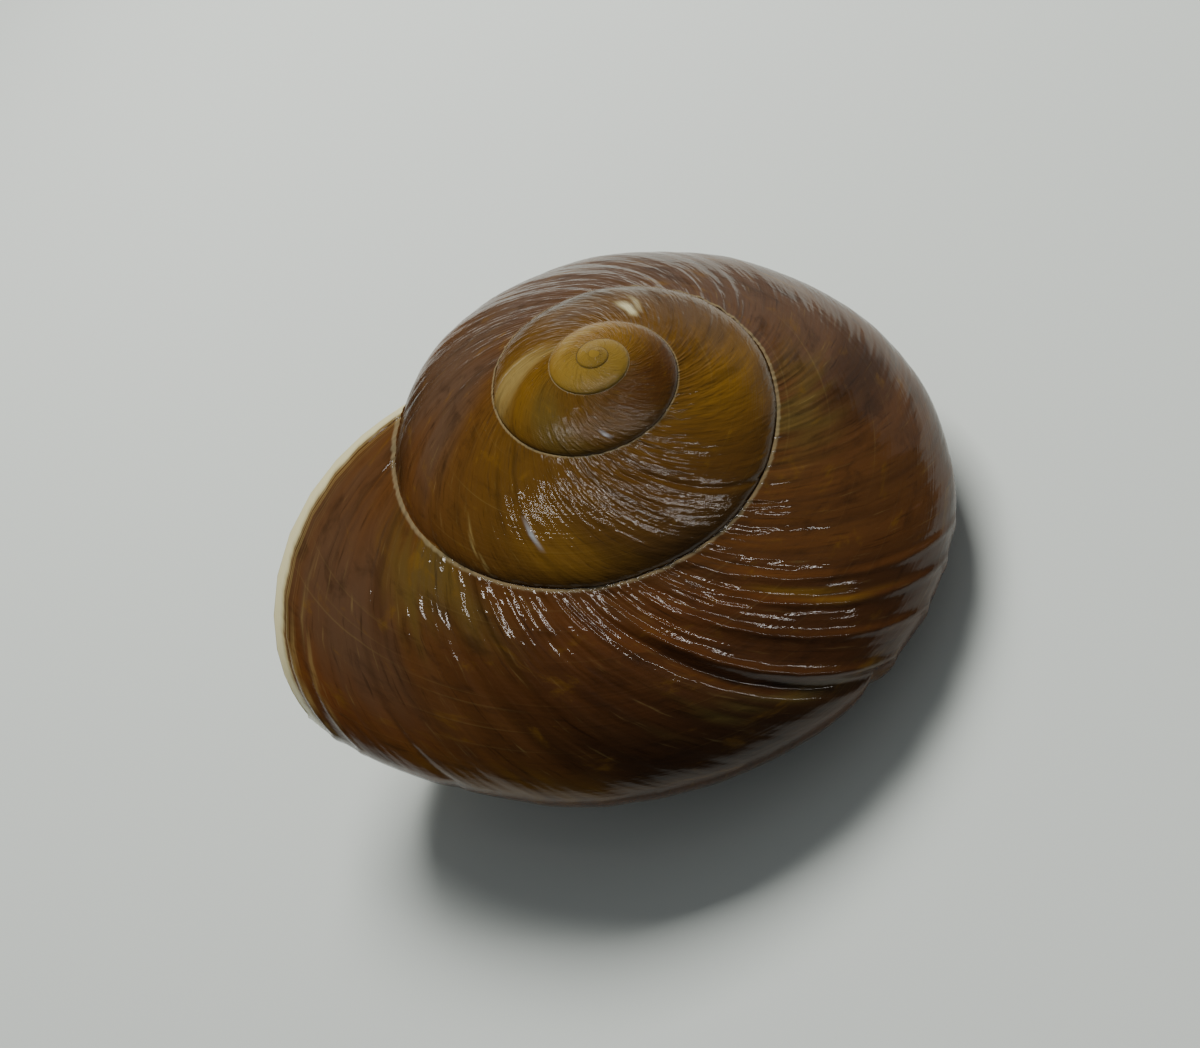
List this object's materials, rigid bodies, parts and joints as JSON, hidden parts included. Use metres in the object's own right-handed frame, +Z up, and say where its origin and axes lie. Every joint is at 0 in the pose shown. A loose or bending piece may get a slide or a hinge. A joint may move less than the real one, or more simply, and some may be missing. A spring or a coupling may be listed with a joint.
{
  "type": "moon snail shell",
  "caption": "Large low-spired right-handed snail shell with a glossy brown skin, fine lines of growth, a wide slanting mouth and a hollow coil.",
  "frame": {"origin": "centre of the bounding box on the surface that the shell lies on", "axes": "+Z up with the spire upwards, +X towards the lip's end of the last turn, the mouth opening to +X and -Y"},
  "size_m": [0.073, 0.0724, 0.0362],
  "materials": {
    "shell": "glossy natural shell, amber to dark brown outside, pale inside"
  },
  "bodies": {
    "root": {"shell": "shell"}
  },
  "joints": []
}
